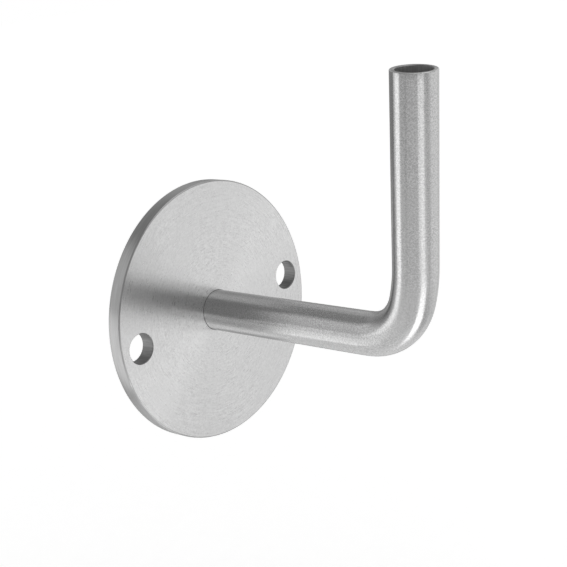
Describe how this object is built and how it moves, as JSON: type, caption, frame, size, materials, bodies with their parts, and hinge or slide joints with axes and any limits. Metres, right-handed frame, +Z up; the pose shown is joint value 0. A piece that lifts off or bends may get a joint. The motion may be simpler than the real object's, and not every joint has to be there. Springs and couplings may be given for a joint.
{
  "type": "handrail bracket",
  "caption": "Wall bracket for a handrail: a bent round tube arm with an open upright end, welded into a round wall plate with screw holes.",
  "frame": {"origin": "centre of the round plate's wall face", "axes": "+Y into the wall, -Y along the level leg of the arm, +Z up; the arm's centre-line lies in the plane x = 0"},
  "size_m": [0.08, 0.0934, 0.1136],
  "materials": {
    "disc_steel": "brushed stainless steel, fine grain, satin",
    "arm_steel": "ground and polished stainless tube, satin, grain round the tube",
    "weld_steel": "stainless weld bead, as welded and wire brushed"
  },
  "bodies": {
    "root": {"wall_disc": "disc_steel", "arm": "arm_steel", "weld": "weld_steel"}
  },
  "joints": []
}
